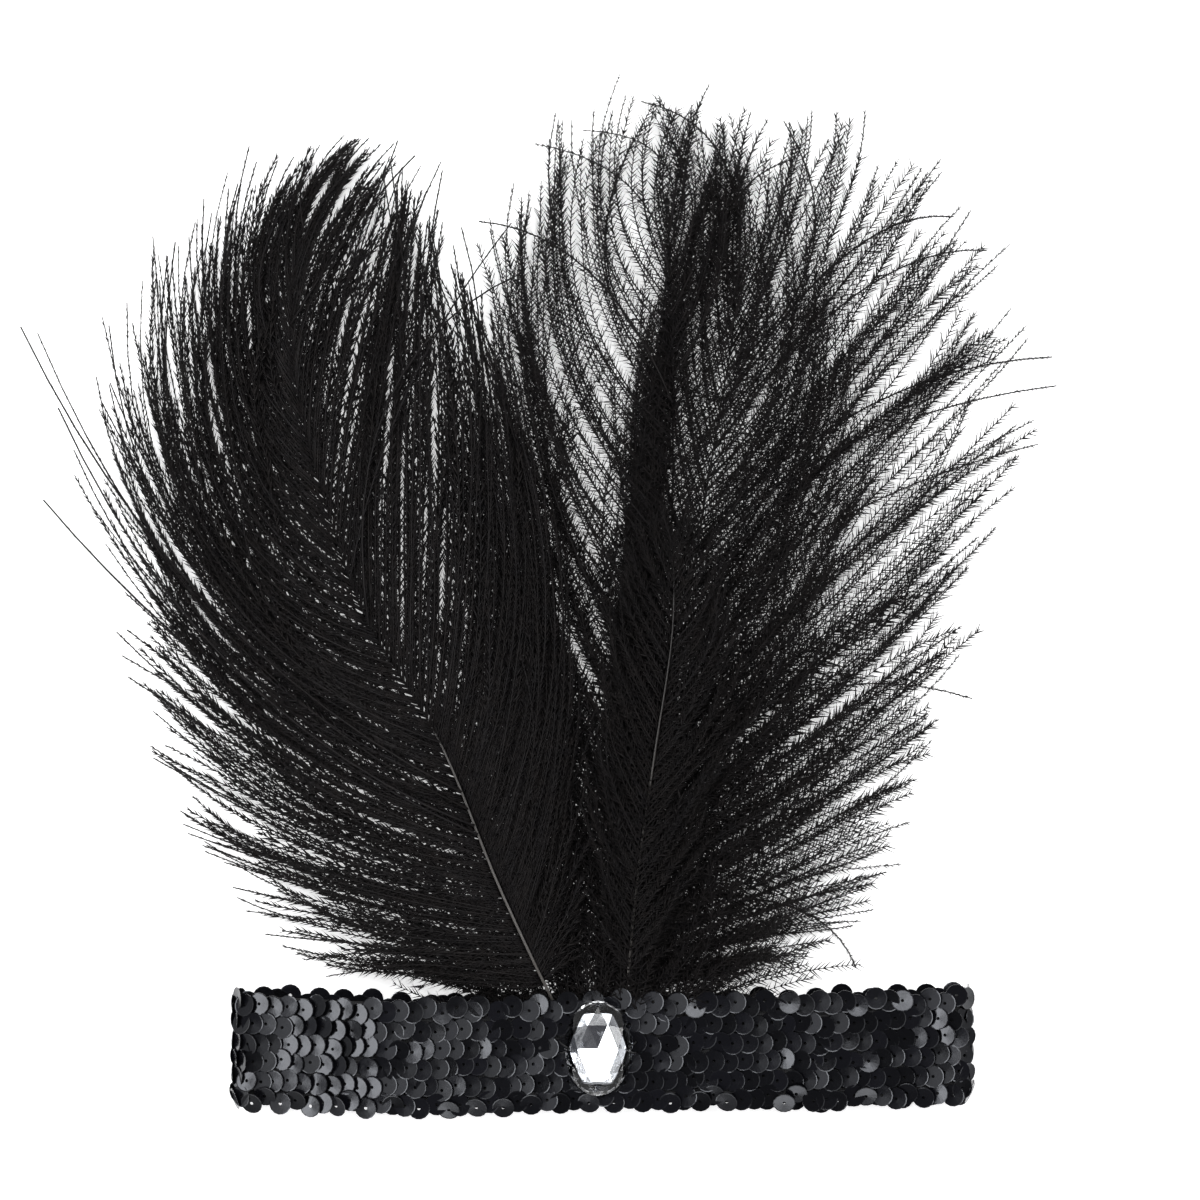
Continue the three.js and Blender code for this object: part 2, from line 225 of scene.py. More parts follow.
def takeShape(piece):        # a modelled piece's points and faces, after which the piece itself goes
    mesh = piece.data
    points = np.array([v.co for v in mesh.vertices])
    faces = [tuple(p.vertices) for p in mesh.polygons]
    bpy.data.objects.remove(piece)
    bpy.data.meshes.remove(mesh)
    return points, faces


def makePiece(name, points, faceSets, finishes, smooth=True):
    # points in millimetres; faceSets are arrays of faces with the same number of corners each
    mesh = bpy.data.meshes.new(name)
    mesh.vertices.add(len(points))
    mesh.vertices.foreach_set("co", (np.asarray(points) * mm).astype(np.float32).ravel())
    corners = np.concatenate([faces.ravel() for faces in faceSets])
    sizes = np.concatenate([np.full(len(faces), faces.shape[1]) for faces in faceSets])
    mesh.loops.add(len(corners))
    mesh.loops.foreach_set("vertex_index", corners.astype(np.int32))
    mesh.polygons.add(len(sizes))
    mesh.polygons.foreach_set("loop_start", (np.cumsum(sizes) - sizes).astype(np.int32))
    mesh.polygons.foreach_set("use_smooth", np.full(len(sizes), smooth))
    for finish in finishes:
        mesh.materials.append(finish)
    mesh.update(calc_edges=True)
    mesh.validate()
    print(name, int((sizes - 2).sum()), "triangles")
    piece = bpy.data.objects.new(name, mesh)
    bpy.context.scene.collection.objects.link(piece)
    return piece


def copiedFaces(faces, copies, count):   # one shape's faces, for copies with that count of points each
    starts = (np.arange(copies) * count)[:, None, None]
    sets = []
    for size in sorted({len(face) for face in faces}):
        block = np.array([face for face in faces if len(face) == size])
        sets.append((block[None] + starts).reshape(-1, size))
    return sets


def setTints(piece, tints):
    layer = piece.data.attributes.new("tint", "FLOAT", "POINT")
    layer.data.foreach_set("value", tints.astype(np.float32))


def unit(vectors):
    return vectors / np.maximum(np.linalg.norm(vectors, axis=-1, keepdims=True), 1e-9)


def smoothStep(share, low, high):
    step = np.clip((share - low) / (high - low), 0, 1)
    return step * step * (3 - 2 * step)


fan = dict(                  # millimetres, as the solids have them
    base=14.9,
    quillLevel=8.0,
    leavingRun=9,
    reach=240.9,
    halfWidth=135.6,
    middle=-15.8,
    crown=6,
    flatter=0.8,
    layerStep=2.65,
    plumeReach=226,
    lowest=0.12,             # nothing is nearer the floor than this
    highest=25,
)
fanSpread = readCurve([(0, 0.42), (0.25, 0.72), (0.45, 0.84), (0.7, 1), (1, 0.82)])

# Each plume has its own dictionary. Widths, lengths, quill places and layers are millimetres, the rest shares.
# quillShows and quillSinks: how far up it comes out over the barbs and goes back under them.
# strand: how many barbs a lock has. gather, bunch: how close they keep at the tip and half way.
# wander, loose: how far locks and barbs stray. evenBelow: up to where they lie evenly.
# ragged, curl, fringe: how locks end and bend.
# rootPull, tipCrowd, lastRoot, tipCount: where on the shaft the barbs start, and how many end near its tip.
# strays: side, root, up, side of the tip, leaving angle, bow. shaft: share, up, side.
# outer, inner: share of the fringe, up and side of the tip, and leaving angle from the shaft.
covered = (900, 901)         # further up than any quill reaches, so it never shows

leftPlume = dict(
    name="left_plume", reach=226, exit=-14.3, outerIsLeft=True, seed=11,
    layer=2, landing=(-0.38, -0.2),
    quillWidth=0.9, quillTuck=23, quillShows=(12, 26), quillSinks=(66, 112),
    barbs=252, underBarbs=150, underEnd=0.9, underLengths=(0.5, 0.95),
    strand=(3, 6), gather=0.04, bunch=0.22, wander=2.1, loose=1.9, evenBelow=0.8, ragged=0.07, curl=0.02,
    fringe=0.15, fluff=2.4, tipCount=1.25, lastRoot=0.88,
    rootPull=dict(outer=0.5, inner=0.38), tipCrowd=dict(outer=4, inner=5),
    barbWidth=0.64, barbulePitch=1.6, barbuleLength=3.2, barbuleAngle=25, barbuleWidth=0.47,
    strays=[
        ("outer", 0.24, 0.798, -0.636, 42, 0.5), ("outer", 0.22, 0.79, -0.615, 44, 0.5),
        ("outer", 0.2, 0.7, -0.59, 48, 0.5), ("outer", 0.3, 0.8, -0.53, 45, 0.6),
        ("outer", 0.19, 0.59, -0.61, 45, 0.5), ("outer", 0.4, 0.9, -0.45, 42, 0.6),
        ("inner", 0.5, 0.92, -0.045, 30, 0.5), ("inner", 0.45, 0.86, -0.03, 20, 0.7),
        ("outer", 0.9, 1.01, -0.29, 30, 0.5), ("inner", 0.8, 1.0, -0.16, 30, 0.6),
    ],
    shaft=readCurve([
        (0, 0, 0), (0.13, 0.13, -0.06), (0.3, 0.3, -0.13), (0.48, 0.47, -0.23), (0.59, 0.59, -0.27),
        (0.7, 0.7, -0.3), (0.79, 0.79, -0.31), (0.88, 0.89, -0.3), (0.95, 0.96, -0.27), (1, 1, -0.22),
    ]),
    outer=[
        (0.02, 0.025, -0.19, 62), (0.06, 0.03, -0.29, 64), (0.12, 0.11, -0.38, 64), (0.2, 0.22, -0.46, 62),
        (0.29, 0.36, -0.51, 60), (0.38, 0.49, -0.55, 57), (0.48, 0.645, -0.575, 53), (0.58, 0.78, -0.555, 48),
        (0.68, 0.89, -0.5, 43), (0.78, 0.965, -0.435, 37), (0.88, 1.005, -0.36, 31), (0.95, 1.02, -0.295, 24),
        (1, 1.03, -0.225, 12),
    ],
    inner=[
        (0.038, 0.045, 0.04, 65), (0.07, 0.14, 0.05, 52), (0.12, 0.25, 0.04, 48), (0.22, 0.41, 0.03, 45),
        (0.32, 0.57, 0, 45), (0.42, 0.71, -0.03, 45), (0.52, 0.82, -0.06, 42), (0.62, 0.9, -0.11, 40),
        (0.72, 0.985, -0.145, 34), (0.82, 1.01, -0.165, 27), (0.92, 1.01, -0.19, 14), (1, 1.02, -0.215, 5),
    ],
)
middlePlume = dict(
    name="middle_plume", reach=214.7, exit=3.2, outerIsLeft=False, seed=23,
    layer=1, landing=None,
    quillWidth=1.15, quillTuck=23, quillShows=covered, quillSinks=(60, 90),
    barbs=128, underBarbs=34, underEnd=0.6, underLengths=(0.45, 0.85),
    strand=(3, 5), gather=0.06, bunch=0.3, wander=2.4, loose=2.6, evenBelow=0.05, ragged=0.14, curl=0.06,
    fringe=0.08, fluff=2.4, tipCount=1.15, lastRoot=0.97,
    rootPull=dict(outer=0.5, inner=0.5), tipCrowd=dict(outer=3, inner=3.5),
    barbWidth=0.5, barbulePitch=1.2, barbuleLength=4.0, barbuleAngle=42, barbuleWidth=0.38,
    strays=[
        ("inner", 0.96, 1.085, -0.039, -14, 0.75), ("inner", 0.9, 1.07, -0.1, 5, 0.6),
        ("outer", 0.9, 1.1, 0.06, 40, 0.5), ("inner", 0.75, 0.97, -0.17, 20, 0.7),
    ],
    shaft=readCurve([
        (0, 0, 0), (0.18, 0.18, 0.03), (0.36, 0.36, 0.05), (0.54, 0.54, 0.07), (0.7, 0.69, 0.075),
        (0.85, 0.85, 0.07), (1, 1, 0.07),
    ]),
    outer=[
        (0.04, 0.06, 0.07, 60), (0.08, 0.11, 0.14, 54), (0.15, 0.2, 0.22, 48), (0.3, 0.4, 0.29, 46),
        (0.45, 0.62, 0.32, 45), (0.6, 0.83, 0.31, 45), (0.72, 0.98, 0.26, 45), (0.84, 1.08, 0.2, 45),
        (0.93, 1.12, 0.14, 35), (1, 1.14, 0.09, 10),
    ],
    inner=[
        (0.04, 0.065, -0.045, 60), (0.07, 0.18, -0.15, 50), (0.12, 0.31, -0.23, 40), (0.22, 0.47, -0.25, 40),
        (0.32, 0.62, -0.24, 42), (0.42, 0.75, -0.205, 44), (0.52, 0.86, -0.165, 44), (0.62, 0.96, -0.15, 46),
        (0.72, 1.045, -0.145, 50), (0.82, 1.1, -0.1, 48), (0.91, 1.12, -0.03, 44), (0.96, 1.13, 0.02, 38),
        (1, 1.14, 0.055, 15),
    ],
)
rightPlume = dict(
    name="right_plume", reach=198, exit=9.8, outerIsLeft=False, seed=37,
    layer=0, landing=None,
    quillWidth=1.15, quillTuck=23, quillShows=covered, quillSinks=(60, 90),
    barbs=160, underBarbs=28, underEnd=0.55, underLengths=(0.45, 0.85),
    strand=(2, 5), gather=0.04, bunch=0.22, wander=2.2, loose=2.6, evenBelow=0.75, ragged=0.12, curl=0.05,
    fringe=0.08, fluff=2.2, tipCount=0.95, lastRoot=0.97,
    rootPull=dict(outer=0.12, inner=0.6), tipCrowd=dict(outer=1, inner=4),
    barbWidth=0.5, barbulePitch=1.2, barbuleLength=4.6, barbuleAngle=42, barbuleWidth=0.38,
    strays=[
        ("inner", 0.96, 1.074, -0.027, -12, 0.95), ("inner", 0.95, 1.22, 0.004, -2, 0.8),
        ("inner", 0.93, 1.142, 0.218, 22, 0.8), ("outer", 0.85, 1.194, 0.2, 42, 0.7),
        ("outer", 0.88, 1.18, 0.285, 20, 0.6), ("outer", 0.8, 1.063, 0.431, 22, 0.8),
        ("outer", 0.74, 1.016, 0.479, 25, 0.75), ("outer", 0.62, 0.87, 0.57, 34, 0.6),
        ("outer", 0.6, 0.83, 0.575, 36, 0.5), ("outer", 0.5, 0.75, 0.55, 40, 0.5),
        ("outer", 0.3, 0.4, 0.46, 40, 0.6), ("outer", 0.12, 0.03, 0.3, 75, 0.8),
    ],
    shaft=readCurve([
        (0, 0, 0), (0.2, 0.2, 0.02), (0.4, 0.4, 0.05), (0.6, 0.6, 0.08), (0.78, 0.78, 0.11),
        (0.9, 0.9, 0.13), (1, 1, 0.14),
    ]),
    outer=[
        (0.02, 0.025, 0.12, 70), (0.06, 0.04, 0.2, 67), (0.12, 0.09, 0.3, 64), (0.2, 0.2, 0.37, 61),
        (0.29, 0.35, 0.41, 57), (0.38, 0.48, 0.45, 53), (0.48, 0.62, 0.49, 48), (0.58, 0.78, 0.54, 43),
        (0.68, 0.95, 0.53, 36), (0.78, 1.08, 0.475, 36), (0.87, 1.17, 0.39, 34), (0.94, 1.21, 0.3, 28),
        (1, 1.22, 0.2, 12),
    ],
    inner=[
        (0.045, 0.1, -0.02, 46), (0.15, 0.32, -0.01, 38), (0.3, 0.54, 0.01, 34), (0.45, 0.74, 0.025, 30),
        (0.6, 0.93, 0.04, 30), (0.75, 1.08, 0.06, 32), (0.88, 1.17, 0.095, 28), (1, 1.21, 0.155, 12),
    ],
)
shortPlume = dict(
    name="short_plume", reach=125.9, exit=6.5, outerIsLeft=False, seed=53,
    layer=3, landing=None,
    quillWidth=0.9, quillTuck=23, quillShows=(62, 80), quillSinks=(112, 140),
    barbs=70, underBarbs=24, underEnd=0.9, underLengths=(0.45, 0.85),
    strand=(2, 4), gather=0.1, bunch=0.35, wander=2.2, loose=1.6, evenBelow=0.05, ragged=0.12, curl=0.04,
    fringe=0.12, fluff=1.6, tipCount=1.35, lastRoot=0.97,
    rootPull=dict(outer=0.75, inner=0.75), tipCrowd=dict(outer=4, inner=4), strays=[],
    barbWidth=0.45, barbulePitch=1.15, barbuleLength=3, barbuleAngle=30, barbuleWidth=0.42,
    shaft=readCurve([(0, 0, 0), (0.3, 0.3, 0.03), (0.51, 0.51, 0.06), (0.8, 0.8, 0.1), (1, 1, 0.1)]),
    outer=[
        (0.07, 0.15, 0.08, 46), (0.25, 0.44, 0.22, 38), (0.5, 0.69, 0.26, 38), (0.75, 0.9, 0.25, 40),
        (0.9, 0.99, 0.2, 40), (1, 1.06, 0.13, 20),
    ],
    inner=[
        (0.07, 0.15, -0.05, 46), (0.25, 0.44, -0.09, 38), (0.5, 0.69, -0.08, 38), (0.75, 0.9, -0.05, 40),
        (0.9, 1, 0.01, 38), (1, 1.06, 0.08, 20),
    ],
)

barb = dict(                 # how every barb runs
    steps=12, jitter=0.35, leaveSpread=(0.85, 1.15), longSpan=60, locked=(0.3, 0.7),
    bow=0.54, bowSpread=(0.8, 1.15),              # how far it keeps its first direction, as a share of its span
    shortSpread=(0.5, 1.5), waves=(3, 7), phases=(0, 6.3), sway=(0.4, 0.014), swaySpread=(0.2, 1.3),
    closes=(0.1, 0.4), opens=(0.5, 0.9),          # where a lock's barbs come together and part again
    rise=0.55, bulge=0.5, underSunk=0.9, underCoarse=2, strayRise=1.5, strayBare=1.1, strayWidth=1.3,
)
barbule = dict(              # the short hairs along every barb
    fewest=4, between=(0.1, 0.9), turn=(1.25, 0.4), turnSpread=(0.7, 1.35), tilt=24, lengthSpread=(0.6, 1.25),
    fades=(0.86, 0.42), fadeRun=0.4, shrink=0.72, widthSpread=(0.75, 1.2),
)
quill = dict(steps=40, tuckSteps=5, sides=8, tip=0.28, over=2, under=1.5, underFrom=24)


def lie(plume, x, y):        # height of a plume's middle at a place, as in the solids
    away = np.hypot(x - plume["exit"], y - fan["base"])
    half = fanSpread(y / fan["reach"])[..., 0]
    across = (x - fan["middle"]) / (half * fan["halfWidth"])
    crown = fan["crown"] * np.maximum(0, 1 - across ** 2) * (1 - fan["flatter"] * (y / fan["reach"]) ** 2)
    landed = 1.0
    if plume["landing"]:
        landed = smoothStep(x / fan["plumeReach"], *plume["landing"])
    settled = np.maximum(crown, 0) + plume["layer"] * fan["layerStep"] * landed
    share = smoothStep(away, 0, fan["leavingRun"])
    return np.where(y < fan["base"], fan["quillLevel"], fan["quillLevel"] * (1 - share) + settled * share)


def inFan(plume, shares):    # a place given as up and side, in shares of the plume's reach
    up, side = shares[..., 0], shares[..., 1]
    return np.stack([plume["exit"] + side * plume["reach"], fan["base"] + up * plume["reach"]], -1)


def shaftPoint(plume, at):
    return inFan(plume, plume["shaft"](at))


def heading(plume, at):
    return unit(shaftPoint(plume, at + 0.01) - shaftPoint(plume, np.maximum(0, at - 0.01)))


def turned(vectors, degrees):
    angle = np.radians(degrees)
    x, y = vectors[..., 0], vectors[..., 1]
    return np.stack([x * np.cos(angle) - y * np.sin(angle), x * np.sin(angle) + y * np.cos(angle)], -1)


def modelRod(sides, endWidth, steps):   # a rod from 0 to 1 along Z, one wide at its root, closed at both ends
    clearSelection()
    bpy.ops.mesh.primitive_cone_add(vertices=sides, radius1=0.5, radius2=0.5 * endWidth, depth=1,
                                    location=(0, 0, 0.5), end_fill_type="NGON")
    rod = bpy.context.object
    bpy.ops.object.transform_apply(location=True)
    bpy.ops.object.mode_set(mode="EDIT")
    for step in range(1, steps):
        bpy.ops.mesh.select_all(action="SELECT")
        bpy.ops.mesh.bisect(plane_co=(0, 0, step / steps), plane_no=(0, 0, 1))
    bpy.ops.mesh.select_all(action="SELECT")
    bpy.ops.mesh.normals_make_consistent(inside=False)
    bpy.ops.object.mode_set(mode="OBJECT")
    return takeShape(rod)


def bentCopies(shape, paths, widths):
    # a copy of the shape along each path: paths (copies, steps, 3), widths (copies,)
    points, faces = shape
    steps = paths.shape[1] - 1
    level = np.clip(points[:, 2], 0, 1) * steps
    low = np.minimum(level.astype(int), steps - 1)
    share = (level - low)[None, :, None]
    centre = paths[:, low] * (1 - share) + paths[:, low + 1] * share
    along = unit(np.gradient(paths, axis=1) if steps > 1 else np.repeat(paths[:, 1:] - paths[:, :1], 2, 1))
    along = along[:, low] * (1 - share) + along[:, low + 1] * share
    side = unit(np.cross(along, (0, 0, 1)))
    over = np.cross(side, along)
    offset = side * points[None, :, 0:1] + over * points[None, :, 1:2]
    made = (centre + offset * widths[:, None, None]).reshape(-1, 3)
    made[:, 2] = np.clip(made[:, 2], 0.5 * fan["lowest"], fan["highest"])
    return made, copiedFaces(faces, len(paths), len(points))


def joined(parts):           # several sets of points and faces as one
    points, sets, start = [], [], 0
    for made, faceSets in parts:
        points.append(made)
        sets += [faces + start for faces in faceSets]
        start += len(made)
    return np.concatenate(points), sets


def strandsOf(count, sizes, random):   # which strand each barb belongs to
    strand, number = np.zeros(count, int), 0
    start = 0
    while start < count:
        size = int(random.integers(sizes[0], sizes[1] + 1))
        strand[start:start + size] = number
        start, number = start + size, number + 1
    return strand


def meanBy(groups, values):
    count = np.bincount(groups)
    return np.stack([np.bincount(groups, column) / count for column in values.T], -1)[groups]


def alongBarb():
    return np.linspace(0, 1, barb["steps"] + 1)[None, :]


def arc(root, aim, tip, bow):    # a flat curve for each barb that leaves its root along its aim
    span = np.linalg.norm(tip - root, axis=1, keepdims=True)
    bend = root + aim * span * bow
    t = alongBarb()[..., None]
    return (1 - t) ** 2 * root[:, None] + 2 * t * (1 - t) * bend[:, None] + t ** 2 * tip[:, None]


def senseOf(plume, side):    # 1 where this side of the plume is its left one
    return 1 if (side == "outer") == plume["outerIsLeft"] else -1


def rooted(plume, side, at, shares, leave):   # roots, first directions and tips
    way = turned(heading(plume, np.minimum(at, 0.98)), senseOf(plume, side) * leave)
    return shaftPoint(plume, at), way, inFan(plume, shares)


def barbPaths(plume, side, count, end, shortening, sunk, random):
    first, pull, crowd = plume[side][0][0], plume["rootPull"][side], plume["tipCrowd"][side]
    step = end * (np.arange(count) + random.uniform(-barb["jitter"], barb["jitter"], count)) / (count - 1)
    fringe = first + (1 - first) * (1 - (1 - np.clip(step, 0, 1)) ** plume["tipCount"])
    table = readCurve(plume[side])(fringe)
    at = fringe * (pull + (plume["lastRoot"] - pull) * fringe ** crowd)
    leave = table[:, 2] * random.uniform(*barb["leaveSpread"], count)
    root, aim, tip = rooted(plume, side, at, table[:, :2], leave)
    strand = strandsOf(count, plume["strand"], random)
    locks = strand.max() + 1
    span = np.linalg.norm(tip - root, axis=1, keepdims=True)
    far = np.minimum(span / barb["longSpan"], 1)
    parted = smoothStep(fringe, 0, plume["evenBelow"])[:, None]    # low barbs lie evenly, not in locks
    free = barb["locked"][0] + barb["locked"][1] * parted

    bare = random.uniform(0, 1, (count, 1)) ** 2
    reach = 1 - plume["fringe"] * (1 - bare) * random.uniform(*barb["shortSpread"], (count, 1))
    drift = plume["wander"] * random.normal(0, 1, (locks, 2))[strand] * free
    ragged = 1 - plume["ragged"] * (random.uniform(0, 1, (locks, 1)) ** 2)[strand] * parted
    curl = plume["curl"] * random.normal(0, 1, (locks, 1, 1))[strand] * (span * free)[:, None]
    tip = root + (tip - root) * reach * ragged * random.uniform(*shortening, (count, 1))
    tip = tip * (1 - plume["gather"]) + meanBy(strand, tip) * plume["gather"]
    tip = tip + (drift + plume["loose"] * random.normal(0, 1, (count, 2))) * far

    flat = arc(root, aim, tip, barb["bow"] * random.uniform(*barb["bowSpread"], (count, 1)))
    t = alongBarb()[..., None]
    waves = random.uniform(*barb["waves"], (count, 1, 1))
    wave = np.sin(t * waves + random.uniform(*barb["phases"], (count, 1, 1)))
    cross = turned(unit(tip - root), 90)
    sway = wave * t * (barb["sway"][0] + barb["sway"][1] * span[:, None])
    sway = sway * random.uniform(*barb["swaySpread"], (count, 1, 1))
    flat = flat + cross[:, None] * (sway + curl * t ** 3)
    middle = np.stack([meanBy(strand, flat[:, step]) for step in range(barb["steps"] + 1)], 1)
    close = smoothStep(t, *barb["closes"]) * (1 - smoothStep(t, *barb["opens"]))
    close = plume["bunch"] * close * (far * parted)[:, None]
    flat = flat * (1 - close) + middle * close
    return raised(plume, flat, sunk, random), bare[:, 0]


def raised(plume, flat, sunk, random):   # heights for flat curves that lie on the plume
    t = alongBarb()
    height = lie(plume, flat[..., 0], flat[..., 1])
    rise = plume["fluff"] * random.normal(0, barb["rise"], (len(flat), 1)) * t
    bulge = plume["fluff"] * barb["bulge"] * random.uniform(-1, 1, (len(flat), 1)) * np.sin(np.pi * t)
    height = np.maximum(height + rise + bulge - sunk, fan["lowest"])
    return np.concatenate([flat, height[..., None]], -1)


def strayPaths(plume, side, random):   # single barbs that cross the others or reach past them
    rows = np.array([row[1:] for row in plume["strays"] if row[0] == side]).reshape(-1, 5)
    root, aim, tip = rooted(plume, side, rows[:, 0], rows[:, 1:3], rows[:, 3])
    paths = raised(plume, arc(root, aim, tip, rows[:, 4:5]), -barb["strayRise"], random)
    return paths, np.full(len(rows), barb["strayBare"])


def barbulePaths(plume, paths, bare, coarse, random):
    # short side hairs along every barb, on both of its sides; a bare barb has short ones towards its tip
    lengths = np.linalg.norm(np.diff(paths, axis=1), axis=2).sum(1)
    counts = np.maximum((lengths / (plume["barbulePitch"] * coarse)).astype(int), barbule["fewest"])
    owner = np.repeat(np.arange(len(paths)), 2 * counts)
    order = np.concatenate([np.arange(2 * count) for count in counts])
    which = np.where(order % 2 == 0, 1, -1)
    share = (order // 2 + random.uniform(*barbule["between"], len(order))) / counts[owner]
    share = 0.01 + 0.98 * share
    level = share * barb["steps"]
    low = np.minimum(level.astype(int), barb["steps"] - 1)
    part = (level - low)[:, None]
    root = paths[owner, low] * (1 - part) + paths[owner, low + 1] * part
    along = unit(paths[owner, low + 1] - paths[owner, low])
    across = unit(np.cross(along, (0, 0, 1)))
    over = np.cross(across, along)
    turn = barbule["turn"][0] - barbule["turn"][1] * share
    angle = np.radians(plume["barbuleAngle"] * random.uniform(*barbule["turnSpread"], len(order)) * turn)
    tilt = np.radians(random.normal(0, barbule["tilt"], len(order)))
    outward = across * (which * np.cos(tilt))[:, None] + over * np.sin(tilt)[:, None]
    way = along * np.cos(angle)[:, None] + outward * np.sin(angle)[:, None]
    fades = barbule["fades"][0] - barbule["fades"][1] * np.minimum(bare[owner], 1)
    swell = 1 - barbule["shrink"] * smoothStep(share, fades, fades + barbule["fadeRun"])
    swell = swell / np.maximum(bare[owner], 1) ** 1.5
    length = plume["barbuleLength"] * (0.7 + 0.3 * coarse) * swell
    length = length * random.uniform(*barbule["lengthSpread"], len(order))
    tip = root + way * length[:, None]
    tip[:, 2] = np.maximum(tip[:, 2], fan["lowest"])
    return np.stack([root, tip], 1), owner


def feathered(plume, layers, shapes, random):   # barbs with all their barbules, and the tint of every point
    parts, tints = [], []
    for (paths, bare), coarse in layers:
        widths = plume["barbWidth"] * random.uniform(0.8, 1.2, len(paths))
        widths = widths * np.maximum(1, barb["strayWidth"] * (bare > 1))
        hairs, owner = barbulePaths(plume, paths, bare, coarse, random)
        hairWidths = plume["barbuleWidth"] * coarse * random.uniform(*barbule["widthSpread"], len(hairs))
        parts += [bentCopies(shapes["spine"], paths, widths), bentCopies(shapes["hair"], hairs, hairWidths)]
        tint = np.clip(random.normal(0.5, 0.22, len(paths)), 0, 1)
        tints += [np.repeat(tint, len(shapes["spine"][0])), np.repeat(tint[owner], len(shapes["hair"][0]))]
    return *joined(parts), np.concatenate(tints)


def finishPlumePiece(piece, node, tints=None):
    if tints is not None:
        setTints(piece, tints)
    if node:
        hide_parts(node)
    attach(piece, "root")


def makeQuill(plume, shapes, finishes):
    way = heading(plume, np.array([0.0]))[0]
    start = shaftPoint(plume, np.array([0.0]))[0]
    tucked = start - way * np.linspace(plume["quillTuck"], 1, quill["tuckSteps"] + 1)[:, None]
    out = shaftPoint(plume, np.linspace(0, 1, quill["steps"] - quill["tuckSteps"]))
    flat = np.concatenate([tucked, out])
    up = flat[:, 1]
    shown = smoothStep(up, *plume["quillShows"]) - smoothStep(up, *plume["quillSinks"])
    height = lie(plume, flat[:, 0], up) + quill["over"] * shown
    height = height - quill["under"] * smoothStep(up, fan["base"], quill["underFrom"])
    path = np.concatenate([flat, height[:, None]], 1)[None]
    points, sets = bentCopies(shapes["quill"], path, np.array([plume["quillWidth"]]))
    piece = makePiece(f"{plume['name']}_quill", points, sets, [finishes["quill"]])
    finishPlumePiece(piece, plume["name"])


def makePlume(plume, shapes, finishes):
    random = np.random.default_rng(plume["seed"])
    for side in ("outer", "inner"):
        upper = barbPaths(plume, side, plume["barbs"], 1, (1, 1), 0, random)
        under = barbPaths(plume, side, plume["underBarbs"], plume["underEnd"], plume["underLengths"],
                          barb["underSunk"], random)
        layers = [(upper, 1), (under, barb["underCoarse"])]
        if plume["strays"]:
            layers.append((strayPaths(plume, side, random), 1))
        points, sets, tints = feathered(plume, layers, shapes, random)
        piece = makePiece(f"{plume['name']}_{side}_barbs", points, sets, [finishes["barbs"]])
        finishPlumePiece(piece, plume["name"], tints)
    makeQuill(plume, shapes, finishes)


down = dict(                 # the soft short barbs round the roots of all four quills; millimetres and degrees
    seed=71, count=150, rootsAlong=(-30, 26), rootsUp=(8, 15), level=(3.2, 8), lengths=(18, 48), fanned=64,
    longCount=60, longRoots=(-9, 9), longLengths=(45, 105), longFanned=13, longCoarse=1.8,
    overQuills=3.6, quillsFrom=(-9, -2), turn=12, bow=0.55, rise=1.2,
    barbWidth=0.4, barbulePitch=1.55, barbuleLength=3.8, barbuleAngle=42, barbuleWidth=0.42,
)


def downPaths(count, roots, lengths, fanned, random):
    share = random.uniform(-1, 1, count)
    low, high = roots
    root = np.stack([(low + high) / 2 + share * (high - low) / 2, random.uniform(*down["rootsUp"], count)], -1)
    aim = turned(np.repeat([[0.0, 1.0]], count, 0), -share * fanned + random.normal(0, 0.2 * fanned, count))
    tip = root + turned(aim, random.normal(0, down["turn"], count)) * random.uniform(*lengths, (count, 1))
    flat = arc(root, aim, tip, down["bow"])
    height = random.uniform(*down["level"], (count, 1))
    height = height + down["overQuills"] * smoothStep(flat[..., 0], *down["quillsFrom"])
    height = height + random.normal(0, down["rise"], (count, 1)) * alongBarb()
    return np.concatenate([flat, np.maximum(height, fan["lowest"])[..., None]], -1), np.zeros(count)


def makeDown(shapes, finishes):
    random = np.random.default_rng(down["seed"])
    short = downPaths(down["count"], down["rootsAlong"], down["lengths"], down["fanned"], random)
    long = downPaths(down["longCount"], down["longRoots"], down["longLengths"], down["longFanned"], random)
    points, sets, tints = feathered(down, [(short, 1), (long, down["longCoarse"])], shapes, random)
    piece = makePiece("plume_down", points, sets, [finishes["barbs"]])
    finishPlumePiece(piece, None, tints)


def makeBarbFinish():
    finish = Finish("dyedBarbs", Specular_IOR_Level=0.2)
    streak = finish.noise(finish.spot(), 260, 3)
    base = finish.blend(finish.tint(), (0.0042, 0.0034, 0.0036, 1), (0.0078, 0.0072, 0.0085, 1))
    finish.onShader("Base Color", finish.blend(streak ** 2, base, (0.017, 0.0135, 0.0125, 1)))
    finish.onShader("Roughness", 0.42 + streak * 0.3)
    return finish.material


def makeQuillFinish():       # pale where the barbs leave it bare, near the band, and dyed further up
    finish = Finish("bareQuill")
    spot = finish.spot()
    up = finish.node("ShaderNodeSeparateXYZ", {}, {"Vector": spot}, output="Y")
    dyed = finish.node("ShaderNodeMapRange", {"interpolation_type": "SMOOTHSTEP"},
                       {"Value": up, "From Min": 0.02, "From Max": 0.125})
    drawn = finish.node("ShaderNodeMapping", {}, {"Vector": spot, "Scale": (900, 60, 900)})
    grain = finish.noise(drawn, 1)
    bare = finish.blend(grain, (0.055, 0.05, 0.047, 1), (0.11, 0.103, 0.096, 1))
    finish.onShader("Base Color", finish.blend(dyed, bare, (0.016, 0.014, 0.014, 1)))
    finish.onShader("Roughness", 0.3 + grain * 0.2)
    finish.bump(grain, 0.3, 0.0002)
    return finish.material


